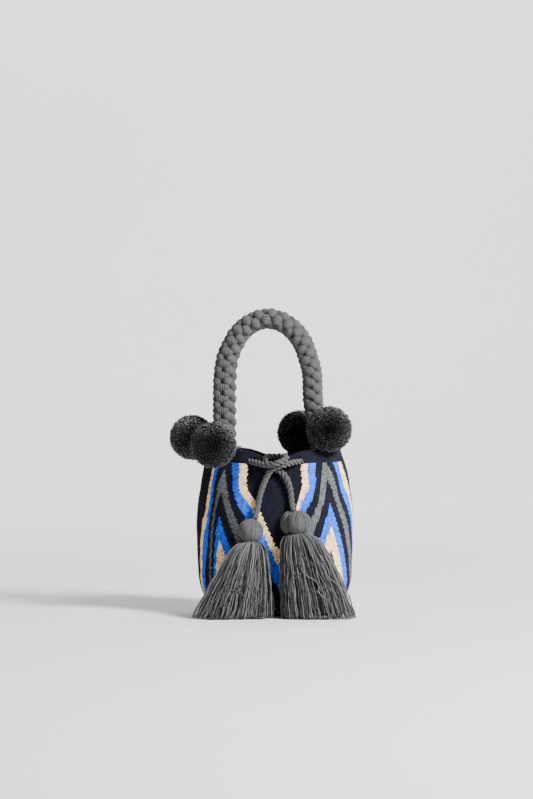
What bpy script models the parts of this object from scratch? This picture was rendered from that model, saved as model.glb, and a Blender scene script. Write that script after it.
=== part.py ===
"""A small crocheted bucket bag with a braided rope handle, four pompoms and a tasselled drawstring.

Units are metres, +Z is up, the front faces -Y and the origin lies on the floor under the middle of the base.
"""

import math
from random import Random

import bmesh
import bpy
from mathutils import Matrix, Vector
from mathutils.geometry import interpolate_bezier

# Crocheted bucket
WALL = 0.0030
BASE_HALF_WIDTH = 0.064
BODY_HEIGHT = 0.194
# Share of the body's height, half width and half depth at that height
BODY_PROFILE = (
    (0.018, 0.071, 0.064),
    (0.055, 0.0775, 0.0700),
    (0.124, 0.0855, 0.0765),
    (0.200, 0.0900, 0.0805),
    (0.310, 0.0920, 0.0825),
    (0.425, 0.0930, 0.0830),
    (0.575, 0.0930, 0.0825),
    (0.700, 0.0912, 0.0808),
    (0.810, 0.0885, 0.0780),
    (0.880, 0.0855, 0.0750),
    (0.940, 0.0822, 0.0715),
    (1.000, 0.0784, 0.0675),
)
BASE_HALF_DEPTH = 0.0575
AROUND = 48
RIM_DIP = 0.0100
RIM_DIP_WIDTH = 0.30
GATHER_DEPTH = 0.0016
GATHER_COUNT = 14
GATHER_START = 0.72

# Drawstring and its eyelets
CORD_DIAMETER = 0.0074
CORD_GAP = 0.0004
FRONT_EYELET_WIDTH = 0.0210
BACK_EYELET_WIDTH = 0.0320
EYELET_HEIGHT = 0.0110
FRONT_EYELET_X = 0.0305
EYELET_LEAD = 0.0100
BACK_EYELET_X = 0.0330
EYELET_DROP = 0.0110
KNOT_HEIGHT = 0.1775
KNOT_X = 0.0020
KNOT_TURN = 0.0083
KNOT_LOOP = (
    # from the knot's middle: the left end goes over the right one, up, back over the rim and down behind
    (-0.0145, 0.0001, 0.0026),
    (-0.0015, -0.0086, 0.0044),
    (0.0065, -0.0057, 0.0070),
    (0.0115, 0.0014, 0.0111),
    (0.0065, 0.0094, 0.0127),
    (-0.0020, 0.0149, 0.0120),
    (-0.0100, 0.0149, 0.0118),
    (-0.0135, 0.0099, 0.0080),
    (-0.0100, 0.0070, 0.0020),
    (-0.0025, 0.0069, -0.0023),
    (0.0055, 0.0051, -0.0067),
)

# Braided handle
HANDLE_WIDE = 0.0142
HANDLE_NARROW = 0.0117
LOBE_PITCH = 0.0140
LOBE_COLUMNS = 8
LOBE_DEPTH = 0.0017
SEAT_GAP = 0.0004
# Route of the braid's middle between its two feet: X and height above the floor
HANDLE_ROUTE = (
    (-0.0606, 0.2050),
    (-0.0606, 0.2350),
    (-0.0606, 0.2618),
    (-0.0600, 0.2834),
    (-0.0570, 0.3050),
    (-0.0510, 0.3194),
    (-0.0432, 0.3338),
    (-0.0290, 0.3465),
    (-0.0096, 0.3524),
    (0.0110, 0.3465),
    (0.0258, 0.3338),
    (0.0348, 0.3194),
    (0.0396, 0.3050),
    (0.0438, 0.2906),
    (0.0450, 0.2762),
    (0.0456, 0.2546),
    (0.0495, 0.2320),
    (0.0560, 0.2120),
)

# Pompoms
POMPOM_RADIUS = 0.0272
POMPOM_TUFT = 0.0020
POMPOM_TIE = 0.0040
POMPOMS = {
    # middle's X and Y, and its rise over the rim
    "pompom_left_front": (-0.0725, -0.0672, 0.0085),
    "pompom_left_back": (-0.1000, 0.0260, 0.0150),
    "pompom_right_front": (0.0640, -0.0460, 0.0268),
    "pompom_right_back": (0.0300, 0.0430, 0.0203),
}

# Tassels
HEAD_HALF_WIDTH = 0.0150
HEAD_HALF_HEIGHT = 0.0130
CROWN_SIDE = 0.0052
CROWN_BACK = 0.0030
CROWN_GAP = 0.0014
LEFT_HEAD = (-0.0286, 0.1035)
RIGHT_HEAD = (0.0270, 0.1130)
NECK_RADIUS = 0.0088
NECK_TIE = 0.0030
SHOULDER = 0.0135
SKIRT_HALF_DEPTH = 0.0205
SKIRT_FORWARD = 0.0045
SKIRTS = {
    # side: foot's middle X, half width at the foot, how early it widens, how early it leans
    "left": (-0.0500, 0.0484, 0.70, 1.05),
    "right": (0.0512, 0.0450, 0.50, 0.85),
}
SKIRT_ROWS = (0.0, 0.03, 0.10, 0.20, 0.33, 0.50, 0.68, 0.85, 1.0)
SKIRT_STRANDS = 18
SKIRT_RIDGE = 0.0016
FLOOR_GAP = 0.0006

YARN = {
    "bag_navy": ((0.014, 0.013, 0.032), 0.9),
    "braid_grey": ((0.20, 0.205, 0.205), 0.9),
    "cord_grey": ((0.19, 0.20, 0.19), 0.9),
    "pompom_charcoal": ((0.035, 0.037, 0.037), 0.95),
    "tassel_grey": ((0.15, 0.155, 0.15), 0.9),
}


def clear_scene():
    for thing in list(bpy.data.objects):
        bpy.data.objects.remove(thing)


def new_collection(name):
    group = bpy.data.collections.new(name)
    bpy.context.scene.collection.children.link(group)
    return group


def yarn(name):
    """The Principled material of one yarn, made once."""
    found = bpy.data.materials.get(name)
    if found:
        return found
    colour, roughness = YARN[name]
    made = bpy.data.materials.new(name)
    made.use_nodes = True
    shader = made.node_tree.nodes["Principled BSDF"]
    shader.inputs["Base Color"].default_value = (*colour, 1)
    shader.inputs["Roughness"].default_value = roughness
    shader.inputs["Metallic"].default_value = 0
    return made


def add_mesh(name, form, material, group):
    mesh = bpy.data.meshes.new(name)
    form.to_mesh(mesh)
    form.free()
    mesh.shade_smooth()
    thing = bpy.data.objects.new(name, mesh)
    mesh.materials.append(yarn(material))
    group.objects.link(thing)
    return thing


def between(table, place):
    """Values of a table of (place, values...) read at a place, with straight steps between its rows."""
    if place <= table[0][0]:
        return table[0][1:]
    for low, high in zip(table, table[1:]):
        if place <= high[0]:
            share = (place - low[0]) / (high[0] - low[0])
            return tuple(a + share * (b - a) for a, b in zip(low[1:], high[1:]))
    return table[-1][1:]


def half_sizes(height):
    """Outer half width and half depth of the bucket at a height."""
    rows = ((0, BASE_HALF_WIDTH, BASE_HALF_DEPTH),) + BODY_PROFILE
    return between(rows, height / BODY_HEIGHT)


def front_face(x, height):
    """How far the bucket's outside lies from the middle plane at this place."""
    wide, deep = half_sizes(height)
    return deep * math.sqrt(max(0.0, 1 - (x / wide) ** 2))


def dip_at(angle):
    """Share of the rim's dip, full at the front and back middle, where the drawstring pulls it down."""
    off = math.asin(min(1.0, abs(math.cos(angle))))
    return math.exp(-((off / RIM_DIP_WIDTH) ** 2))


def smooth_route(points, step):
    """Points every step or so along a smooth curve through the given points."""
    points = [Vector(p) for p in points]
    ends = [2 * points[0] - points[1], *points, 2 * points[-1] - points[-2]]
    route = []
    for before, start, end, after in zip(ends, ends[1:], ends[2:], ends[3:]):
        count = max(2, round((end - start).length / step) + 1)
        pull = (end - before) / 6, (after - start) / 6
        route += interpolate_bezier(start, start + pull[0], end - pull[1], end, count)[:-1]
    return route + [points[-1]]


def even_route(points, step):
    """The same curve cut into equal steps."""
    fine = smooth_route(points, step / 12)
    lengths = [0.0]
    for start, end in zip(fine, fine[1:]):
        lengths.append(lengths[-1] + (end - start).length)
    count = round(lengths[-1] / step)
    route, index = [], 0
    for number in range(count + 1):
        wanted = lengths[-1] * number / count
        while index < len(fine) - 2 and lengths[index + 1] < wanted:
            index += 1
        share = (wanted - lengths[index]) / (lengths[index + 1] - lengths[index])
        route.append(fine[index].lerp(fine[index + 1], share))
    return route


def add_cord(name, route, diameter, material, group):
    """A round cord along a route, with closed ends."""
    curve = bpy.data.curves.new(name, "CURVE")
    curve.dimensions = "3D"
    curve.bevel_depth = diameter / 2
    curve.bevel_resolution = 2
    curve.use_fill_caps = True
    spline = curve.splines.new("POLY")
    spline.points.add(len(route) - 1)
    for point, place in zip(spline.points, route):
        point.co = (*place, 1)
    curve.materials.append(yarn(material))
    thing = bpy.data.objects.new(name, curve)
    group.objects.link(thing)
    return thing


def eyelet_cutter(name, x, width, side, group):
    """A flat slot that cuts one eyelet, on the front for side -1 and on the back for side 1."""
    height = eyelet_height()
    form = bmesh.new()
    bmesh.ops.create_cone(
        form, cap_ends=True, segments=16, radius1=EYELET_HEIGHT / 2, radius2=EYELET_HEIGHT / 2, depth=0.03
    )
    bmesh.ops.rotate(form, verts=form.verts, matrix=Matrix.Rotation(math.radians(90), 3, "X"))
    stretch = (width - EYELET_HEIGHT) / 2
    for vert in form.verts:
        vert.co.x += math.copysign(stretch, vert.co.x) if abs(vert.co.x) > 1e-6 else 0
    bmesh.ops.translate(form, verts=form.verts, vec=(x, side * front_face(x, height), height))
    cutter = add_mesh(name, form, "bag_navy", group)
    cutter.hide_render = True
    cutter.display_type = "WIRE"
    return cutter


def eyelet_height():
    return BODY_HEIGHT - EYELET_DROP


def bag_body(group, cutters):
    """The bucket, crocheted in one with its base: a revolved profile, pressed flatter and gathered at the mouth."""
    form = bmesh.new()
    rows = [(0.0, BASE_HALF_WIDTH)] + [(share * BODY_HEIGHT, wide) for share, wide, _ in BODY_PROFILE]
    points = [form.verts.new((0, 0, 0))] + [form.verts.new((wide, 0, height)) for height, wide in rows]
    edges = [form.edges.new(pair) for pair in zip(points, points[1:])]
    bmesh.ops.spin(
        form, geom=points + edges, cent=(0, 0, 0), axis=(0, 0, 1), angle=math.tau, steps=AROUND, use_merge=True
    )
    bmesh.ops.remove_doubles(form, verts=form.verts, dist=1e-6)
    for vert in form.verts:
        shape_bucket(vert)
    bmesh.ops.recalc_face_normals(form, faces=form.faces)
    body = add_mesh("bag_body", form, "bag_navy", group)
    wall = body.modifiers.new("wall", "SOLIDIFY")
    wall.thickness = WALL
    wall.offset = -1
    for name, x, width, side in (
        ("front_left", -FRONT_EYELET_X, FRONT_EYELET_WIDTH, -1),
        ("front_right", FRONT_EYELET_X, FRONT_EYELET_WIDTH, -1),
        ("back_left", -BACK_EYELET_X, BACK_EYELET_WIDTH, 1),
        ("back_right", BACK_EYELET_X, BACK_EYELET_WIDTH, 1),
    ):
        cut = body.modifiers.new("eyelet_" + name, "BOOLEAN")
        cut.operation = "DIFFERENCE"
        cut.object = eyelet_cutter("cutter_" + name, x, width, side, cutters)
    return body


def shape_bucket(vert):
    """Presses a point of the turned bucket to its depth, gathers it near the mouth and lets the rim dip."""
    height = vert.co.z
    if vert.co.xy.length < 1e-6:
        return
    wide, deep = half_sizes(height)
    angle = math.atan2(vert.co.y, vert.co.x)
    near_rim = max(0.0, (height / BODY_HEIGHT - GATHER_START) / (1 - GATHER_START))
    fold = GATHER_DEPTH * near_rim * (1 - near_rim) * 4 * math.cos(GATHER_COUNT * angle)
    vert.co.x = (wide - fold) * math.cos(angle)
    vert.co.y = (deep - fold) * math.sin(angle)
    vert.co.z = height - RIM_DIP * dip_at(angle) * near_rim


def foot_height():
    """Height at which the braid's feet end, sewn inside the rim just over the drawstring."""
    return eyelet_height() + CORD_DIAMETER / 2 + 4 * SEAT_GAP


def handle_route():
    """The braid's middle, from the left foot over the arch to the right foot, each against the rim's inside."""
    inside = half_sizes(BODY_HEIGHT)[0] - WALL - 2.5 * SEAT_GAP
    left = -(inside - HANDLE_WIDE)
    right = inside - HANDLE_NARROW
    low = foot_height()
    whole = [(left, low), *HANDLE_ROUTE, (right, low)]
    return [(x, 0, height) for x, height in whole]


def lobe_height(column, row):
    """How proud the braid stands on a column of lobes, from 1 on a lobe to -1 in the dip before the next."""
    share = (row / 4 + (0.5 if column % 2 else 0)) % 1
    return (1, 0.45, -1, 0.45)[round(share * 4) % 4]


def handle_braid(group):
    """The eight-strand braid as one closed solid, with the lobes of its strands as relief."""
    route = even_route(handle_route(), LOBE_PITCH / 4)
    form = bmesh.new()
    rings = []
    sides = 2 * LOBE_COLUMNS
    for row, middle in enumerate(route):
        ahead = route[min(row + 1, len(route) - 1)] - route[max(row - 1, 0)]
        along = ahead.normalized()
        outwards = Vector((-along.z, 0, along.x))
        turned = min(1.0, max(0.0, (row / len(route) - 0.25) / 0.2))
        out = HANDLE_WIDE + turned * (HANDLE_NARROW - HANDLE_WIDE)
        deep = HANDLE_NARROW + turned * (HANDLE_WIDE - HANDLE_NARROW)
        ring = []
        for side in range(sides):
            angle = math.tau * side / sides
            proud = -0.5 * LOBE_DEPTH if side % 2 else LOBE_DEPTH * lobe_height(side // 2, row)
            across = outwards * ((out + proud) * math.cos(angle))
            ring.append(form.verts.new(middle + across + Vector((0, (deep + proud) * math.sin(angle), 0))))
        rings.append(ring)
    for low, high in zip(rings, rings[1:]):
        for side in range(sides):
            after = (side + 1) % sides
            form.faces.new((low[side], low[after], high[after], high[side]))
    form.faces.new(list(reversed(rings[0])))
    form.faces.new(rings[-1])
    bmesh.ops.recalc_face_normals(form, faces=form.faces)
    return add_mesh("handle_braid", form, "braid_grey", group)


def pompom_middle(name):
    x, y, rise = POMPOMS[name]
    return Vector((x, y, BODY_HEIGHT + rise))


def pompom(name, middle, group):
    """A ball of cut yarn, with its ends standing a little uneven."""
    uneven = Random(name)
    form = bmesh.new()
    bmesh.ops.create_uvsphere(form, u_segments=24, v_segments=14, radius=1)
    for vert in form.verts:
        vert.co *= POMPOM_RADIUS - POMPOM_TUFT * uneven.random()
    bmesh.ops.translate(form, verts=form.verts, vec=middle)
    return add_mesh(name, form, "pompom_charcoal", group)


def pompom_tie(side, group):
    """The cord that joins one side's two pompoms, tied round the braid above its foot."""
    sign = -1 if side == "left" else 1
    out = HANDLE_WIDE if side == "left" else HANDLE_NARROW
    deep = HANDLE_NARROW if side == "left" else HANDLE_WIDE
    clear = POMPOM_TIE / 2 + LOBE_DEPTH + 2 * SEAT_GAP
    front = pompom_middle(f"pompom_{side}_front")
    back = pompom_middle(f"pompom_{side}_back")
    height = BODY_HEIGHT + POMPOM_TIE
    arm = arm_at(sign, height)
    bend = []
    for degrees in (-105, -72, -36, 0, 36, 72, 105):
        angle = math.radians(degrees)
        round_x = arm - sign * (out + clear) * math.cos(angle)
        bend.append(Vector((round_x, (deep + clear) * math.sin(angle), height)))
    reach = POMPOM_RADIUS - POMPOM_TUFT / 4
    start = front + reach * (bend[0] - front).normalized()
    end = back + reach * (bend[-1] - back).normalized()
    route = smooth_route([start, *bend, end], 0.006)
    return add_cord(f"pompom_tie_{side}", route, POMPOM_TIE, "braid_grey", group)


def arm_at(sign, height):
    """X of the braid's middle at a height on its left (-1) or right (1) arm."""
    side = [(place[2], place[0]) for place in handle_route() if place[0] * sign > 0.04]
    return between(sorted(side), height)[0]


def inside_wall(angle):
    """Middle of a cord that lies against the wall's inside at the eyelets' height, the angle from the front."""
    height = eyelet_height()
    wide, deep = half_sizes(height)
    inside = WALL + CORD_GAP + CORD_DIAMETER / 2 + GATHER_DEPTH
    return Vector(((wide - inside) * math.sin(angle), -(deep - inside) * math.cos(angle), height))


def front_angle(x):
    """Angle from the front at which the wall at the eyelets' height stands this far to the side."""
    return math.asin(x / half_sizes(eyelet_height())[0])


def drawstring_run(group):
    """The held run: inside the left wall, out through the back eyelets, and back inside the right wall."""
    height = eyelet_height()
    radius = CORD_DIAMETER / 2
    start_angle = front_angle(FRONT_EYELET_X + EYELET_LEAD)
    end_angle = math.pi - front_angle(BACK_EYELET_X) - 0.16
    right = [inside_wall(start_angle + (end_angle - start_angle) * number / 8) for number in range(9)]
    hole = front_face(BACK_EYELET_X, height)
    outside = front_face(0, height) + CORD_GAP + radius
    dip = RIM_DIP * 0.6
    right += [
        (BACK_EYELET_X, hole - WALL / 2, height),
        (BACK_EYELET_X * 0.64, outside + 0.0010, height - dip * 0.5),
        (BACK_EYELET_X * 0.3, outside + 0.0012, height - dip),
    ]
    left = [(-x, y, z) for x, y, z in reversed(right)]
    route = even_route([*right, *left], 2 * CORD_DIAMETER)
    return add_cord("drawstring_run", route, CORD_DIAMETER, "cord_grey", group)


def hanging_y(x, height, lift=0.0):
    """Y of a cord's middle that lies against the bucket's front."""
    return -(front_face(x, height) + CORD_DIAMETER / 2 + CORD_GAP + GATHER_DEPTH + lift)


def head_places():
    """Middle of each tassel's head, leaning on the bucket's front."""
    places = {}
    for side, (x, height) in (("left", LEFT_HEAD), ("right", RIGHT_HEAD)):
        places[side] = Vector((x, -(front_face(x, height) + HEAD_HALF_WIDTH + 2 * CORD_GAP), height))
    return places


def eyelet_lead(sign):
    """A free end's first points: beside the held run's end, then out through the middle of its front eyelet."""
    height = eyelet_height()
    start = inside_wall(front_angle(FRONT_EYELET_X + EYELET_LEAD - 6.5 * CORD_GAP))
    x = FRONT_EYELET_X
    middle = Vector((x, -(front_face(x, height) - WALL / 2), height))
    outside = Vector((x - EYELET_LEAD * 0.75, hanging_y(x - EYELET_LEAD * 0.75, height), height - 0.0006))
    return [Vector((sign * place.x, place.y, place.z)) for place in (start, middle, outside)]


def knot_middle():
    return Vector((KNOT_X, hanging_y(KNOT_X, KNOT_HEIGHT, KNOT_TURN), KNOT_HEIGHT))


def head_crown(side):
    """Where a cord meets its tassel's head, beside the top and nearer to the bag."""
    sign = 1 if side == "left" else -1
    off = Vector((sign * CROWN_SIDE, CROWN_BACK, 0))
    rise = HEAD_HALF_HEIGHT * math.sqrt(1 - (off.length / HEAD_HALF_WIDTH) ** 2)
    return head_places()[side] + off + Vector((0, 0, rise + CROWN_GAP))


def right_end_route():
    """From the right eyelet, in front through the knot, down to the left tassel."""
    knot = knot_middle()
    return [
        *eyelet_lead(1),
        Vector((0.0125, knot.y + 0.0022, 0.1802)),
        knot,
        Vector((-0.0055, knot.y - 0.0005, 0.1728)),
        Vector((-0.0114, hanging_y(-0.0114, 0.1625, 0.0035), 0.1625)),
        Vector((-0.0172, hanging_y(-0.0172, 0.1465, 0.0012), 0.1465)),
        Vector((-0.0204, hanging_y(-0.0204, 0.1305, 0.0010), 0.1305)),
        head_crown("left"),
    ]


def left_end_route():
    """From the left eyelet, once round the other end at the knot, down to the right tassel."""
    knot = knot_middle()
    loop = [knot + Vector(place) for place in KNOT_LOOP]
    return [
        *eyelet_lead(-1),
        *loop,
        Vector((0.0140, hanging_y(0.0140, 0.1630, 0.0032), 0.1630)),
        Vector((0.0180, hanging_y(0.0180, 0.1490, 0.0012), 0.1490)),
        Vector((0.0195, hanging_y(0.0195, 0.1370, 0.0014), 0.1370)),
        head_crown("right"),
    ]


def tassel_head(side, middle, group):
    form = bmesh.new()
    bmesh.ops.create_uvsphere(form, u_segments=18, v_segments=10, radius=1)
    bmesh.ops.scale(form, verts=form.verts, vec=(HEAD_HALF_WIDTH, HEAD_HALF_WIDTH, HEAD_HALF_HEIGHT))
    bmesh.ops.translate(form, verts=form.verts, vec=middle)
    return add_mesh(f"tassel_{side}_head", form, "tassel_grey", group)


def neck_height(middle):
    return middle.z - HEAD_HALF_HEIGHT - CORD_GAP - NECK_TIE / 2


def tassel_neck(side, middle, group):
    """The yarn wound round the tassel under its head."""
    form = bmesh.new()
    bmesh.ops.create_cone(
        form, cap_ends=True, segments=18, radius1=NECK_RADIUS, radius2=NECK_RADIUS, depth=NECK_TIE
    )
    bmesh.ops.translate(form, verts=form.verts, vec=(middle.x, middle.y, neck_height(middle)))
    neck = add_mesh(f"tassel_{side}_neck_tie", form, "cord_grey", group)
    rounded = neck.modifiers.new("rounded", "BEVEL")
    rounded.width = NECK_TIE * 0.3
    rounded.segments = 2
    return neck


def tassel_skirt(side, middle, group):
    """The hanging yarns as one ridged bundle, fanned out to the floor."""
    foot_x, foot_wide, widening, leaning = SKIRTS[side]
    top = neck_height(middle) - NECK_TIE / 2 - CORD_GAP
    form = bmesh.new()
    sides = 2 * SKIRT_STRANDS
    rings = []
    for share in SKIRT_ROWS:
        x_middle = middle.x + (foot_x - middle.x) * share**leaning
        y_middle = middle.y - SKIRT_FORWARD * min(1.0, 4 * share)
        height = top + (FLOOR_GAP - top) * share
        wide = deep = NECK_RADIUS
        if share:
            wide = SHOULDER + (foot_wide - SHOULDER) * share**widening
            deep = SHOULDER + (SKIRT_HALF_DEPTH - SHOULDER) * share**widening
        ridge = SKIRT_RIDGE * min(1.0, 3 * share)
        ring = []
        for number in range(sides):
            angle = math.tau * number / sides
            inset = ridge if number % 2 else 0.0
            x = x_middle + (wide - inset) * math.cos(angle)
            y = y_middle + (deep - inset) * math.sin(angle)
            ring.append(form.verts.new((x, y, height)))
        rings.append(ring)
    for high, low in zip(rings, rings[1:]):
        for number in range(sides):
            after = (number + 1) % sides
            form.faces.new((low[number], low[after], high[after], high[number]))
    form.faces.new(rings[0])
    form.faces.new(list(reversed(rings[-1])))
    bmesh.ops.recalc_face_normals(form, faces=form.faces)
    return add_mesh(f"tassel_{side}_skirt", form, "tassel_grey", group)


def main():
    clear_scene()
    bag = new_collection("crocheted_bag")
    cutters = new_collection("cutters")
    bag_body(bag, cutters)
    handle_braid(bag)
    for name in POMPOMS:
        pompom(name, pompom_middle(name), bag)
    for side in ("left", "right"):
        pompom_tie(side, bag)
    drawstring_run(bag)
    add_cord("drawstring_right_end", smooth_route(right_end_route(), 0.005), CORD_DIAMETER, "cord_grey", bag)
    add_cord("drawstring_left_end", smooth_route(left_end_route(), 0.005), CORD_DIAMETER, "cord_grey", bag)
    for side, middle in head_places().items():
        tassel_head(side, middle, bag)
        tassel_neck(side, middle, bag)
        tassel_skirt(side, middle, bag)


main()
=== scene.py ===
import math
from random import Random

import bmesh
import bpy
import numpy as np
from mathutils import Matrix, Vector, noise
from mathutils.geometry import interpolate_bezier


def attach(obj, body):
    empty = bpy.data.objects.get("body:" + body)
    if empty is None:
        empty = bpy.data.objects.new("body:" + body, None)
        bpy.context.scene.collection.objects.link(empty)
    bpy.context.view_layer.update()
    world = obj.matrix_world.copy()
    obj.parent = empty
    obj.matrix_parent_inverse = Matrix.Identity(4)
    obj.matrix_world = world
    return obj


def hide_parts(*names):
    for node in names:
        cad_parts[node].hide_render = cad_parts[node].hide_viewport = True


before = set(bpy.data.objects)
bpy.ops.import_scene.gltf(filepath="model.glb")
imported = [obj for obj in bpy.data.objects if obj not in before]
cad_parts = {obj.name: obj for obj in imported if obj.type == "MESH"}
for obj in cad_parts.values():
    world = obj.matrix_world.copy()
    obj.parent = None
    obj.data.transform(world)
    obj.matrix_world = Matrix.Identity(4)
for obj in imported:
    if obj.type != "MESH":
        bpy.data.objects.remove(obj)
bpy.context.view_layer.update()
print("frame loaded:", len(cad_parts), "nodes")

# the camera stands in front of the bag, a little higher than its middle
view = {
    "place": (-0.0102, -3.82, 0.311),
    "tiltDown": 0.836,     # degrees
    "lens": 143.5,
    "filmWidth": 36,
}


def placeCamera():
    eye = bpy.data.cameras.new("photo view")
    eye.lens = view["lens"]
    eye.sensor_width = view["filmWidth"]
    eye.dof.use_dof = False
    holder = bpy.data.objects.new("photo view", eye)
    holder.location = view["place"]
    holder.rotation_euler = (math.radians(90 - view["tiltDown"]), 0, 0)
    bpy.context.scene.collection.objects.link(holder)
    bpy.context.scene.camera = holder


placeCamera()
print("camera placed")


# routes, tubes and looks that every piece uses

def tone(red, green, blue):
    # a colour as seen on screen, 0 to 255, turned into the renderer's own scale
    def straight(part):
        share = part / 255
        return share / 12.92 if share <= 0.04045 else ((share + 0.055) / 1.055) ** 2.4
    return (straight(red), straight(green), straight(blue), 1.0)


def smoothRoute(points, step):
    # a smooth line through the points, cut into equal steps
    fineness = 24          # points on the curve from one given point to the next
    points = [Vector(point) for point in points]
    ends = [2 * points[0] - points[1], *points, 2 * points[-1] - points[-2]]
    fine = []
    for before, start, end, after in zip(ends, ends[1:], ends[2:], ends[3:]):
        first = start + (end - before) / 6
        second = end - (after - start) / 6
        fine += interpolate_bezier(start, first, second, end, fineness)[:-1]
    fine = np.array(fine + [points[-1]])
    along = np.concatenate(([0], np.cumsum(np.linalg.norm(np.diff(fine, axis=0), axis=1))))
    wanted = np.linspace(0, along[-1], max(3, round(along[-1] / step)) + 1)
    return np.stack([np.interp(wanted, along, fine[:, axis]) for axis in range(3)], axis=1)


def within(value):
    # nothing below 0 and nothing above 1
    return min(1, max(0, value))


def lengthsAlong(routes):
    # how far along its own route every point lies
    steps = np.linalg.norm(np.diff(routes, axis=1), axis=2)
    return np.concatenate((np.zeros((len(routes), 1)), np.cumsum(steps, axis=1)), axis=1)


def unit(vectors):
    return vectors / np.maximum(np.linalg.norm(vectors, axis=-1, keepdims=True), 1e-12)


def framesAlong(routes):
    # directions ahead, right and up at every point, with no sudden turn on the way
    ahead = unit(np.gradient(routes, axis=1))
    guide = np.where(np.abs(ahead[:, :1, 2:]) < 0.9, (0.0, 0.0, 1.0), (1.0, 0.0, 0.0))
    right = np.empty_like(ahead)
    right[:, 0] = unit(np.cross(ahead[:, 0], guide[:, 0]))
    for row in range(1, ahead.shape[1]):
        lean = np.sum(right[:, row - 1] * ahead[:, row], axis=1, keepdims=True)
        right[:, row] = unit(right[:, row - 1] - lean * ahead[:, row])
    return right, np.cross(ahead, right)


straightTubes = {}


def straightTube(rows, sides):
    # one straight tube with closed ends, and its own map: along it, and round it
    if (rows, sides) in straightTubes:
        return straightTubes[rows, sides]
    form = bmesh.new()
    bmesh.ops.create_cone(form, cap_ends=True, segments=sides, radius1=1, radius2=1, depth=1)
    # the edges from end to end are cut into rows
    upright = [edge for edge in form.edges if abs(edge.verts[0].co.z - edge.verts[1].co.z) > 0.5]
    if rows > 1:
        bmesh.ops.subdivide_edges(form, edges=upright, cuts=rows - 1, use_grid_fill=True)
    laid = form.loops.layers.uv.new("yarnMap")
    for face in form.faces:
        turns = [round(math.atan2(loop.vert.co.x, loop.vert.co.y) / math.tau, 5) % 1 for loop in face.loops]
        for loop, turn in zip(face.loops, turns):
            wrapped = turn + 1 if max(turns) - turn > 0.5 else turn
            loop[laid].uv = (loop.vert.co.z + 0.5, wrapped)
    mesh = bpy.data.meshes.new("straight tube")
    form.to_mesh(mesh)
    form.free()
    straightTubes[rows, sides] = mesh
    return mesh


def roundSection(radius, sides):
    # radius is one value, or one for each tube and row
    turn = math.tau * np.arange(sides) / sides
    ring = np.stack((np.sin(turn), np.cos(turn)), axis=-1)
    return np.asarray(radius, float)[..., None, None] * ring


def layTubes(routes, section, sides, chance, frames=None):
    # bends straight tubes along the routes, all in one mesh; every route has as many points
    routes = np.asarray(routes, float)
    count, points = routes.shape[:2]
    template = straightTube(points - 1, sides)
    form = bmesh.new()
    for _ in range(count):
        form.from_mesh(template)
    mesh = bpy.data.meshes.new("tubes")
    form.to_mesh(mesh)
    form.free()
    corners = np.zeros(len(template.vertices) * 3)
    template.vertices.foreach_get("co", corners)
    corners = corners.reshape(-1, 3)
    row = np.rint((corners[:, 2] + 0.5) * (points - 1)).astype(int)
    side = np.rint(np.arctan2(corners[:, 0], corners[:, 1]) / math.tau * sides).astype(int) % sides
    right, up = framesAlong(routes) if frames is None else frames
    reach = np.broadcast_to(section, (count, points, sides, 2))[:, row, side]
    places = routes[:, row] + reach[..., :1] * right[:, row] + reach[..., 1:] * up[:, row]
    mesh.vertices.foreach_set("co", places.ravel())
    spread = np.zeros(len(mesh.loops) * 2)
    mesh.uv_layers["yarnMap"].data.foreach_get("uv", spread)
    spread = spread.reshape(count, -1, 2)
    spread[..., 0] *= lengthsAlong(routes)[:, -1:]
    mesh.uv_layers["yarnMap"].data.foreach_set("uv", spread.ravel())
    shade = np.array([chance.random() for _ in range(count)])
    marks = {"shade": np.repeat(shade, len(row)), "tip": np.tile(row / (points - 1), count)}
    for name, values in marks.items():
        mesh.attributes.new(name, "FLOAT", "POINT").data.foreach_set("value", values.astype(np.float32))
    return mesh


def darkBall(middle, halves):
    # the imported yarn in the middle of a pompom or of a tassel's head; its marks stay 0, so it is painted
    # the darkest colour of its yarn, as painted shade deep between the tufts and loops
    form = bmesh.new()
    bmesh.ops.create_uvsphere(form, u_segments=24, v_segments=16, radius=1)
    bmesh.ops.scale(form, verts=form.verts, vec=halves)
    bmesh.ops.translate(form, verts=form.verts, vec=middle)
    mesh = bpy.data.meshes.new("ball")
    form.to_mesh(mesh)
    form.free()
    for name in ("shade", "tip"):
        mesh.attributes.new(name, "FLOAT", "POINT")
    return mesh


def makePiece(name, meshes, material, node):
    # joins the meshes into one finished piece that stands for a node of the frame
    form = bmesh.new()
    for mesh in meshes:
        form.from_mesh(mesh)
    bmesh.ops.recalc_face_normals(form, faces=form.faces)
    for face in form.faces:
        face.smooth = True
    whole = bpy.data.meshes.new(name)
    form.to_mesh(whole)
    form.free()
    whole.materials.append(material)
    piece = bpy.data.objects.new(name.replace(" ", "_"), whole)
    bpy.context.scene.collection.objects.link(piece)
    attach(piece, "root")
    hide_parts(node)
    return piece


def addNode(tree, kind, sockets=None, **settings):
    # a shader node; what comes from another node is linked, the rest is set
    made = tree.nodes.new("ShaderNode" + kind)
    for name, value in settings.items():
        setattr(made, name, value)
    for name, value in (sockets or {}).items():
        if isinstance(value, bpy.types.NodeSocket):
            tree.links.new(value, made.inputs[name])
        else:
            made.inputs[name].default_value = value
    return made


def mathNode(tree, operation, *values):
    # one sum of the shader's own, on numbers or on what other nodes give
    return addNode(tree, "Math", dict(enumerate(values)), operation=operation).outputs[0]


waveBand = 0.6283          # the scale at which a wave texture has one band a unit


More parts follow.
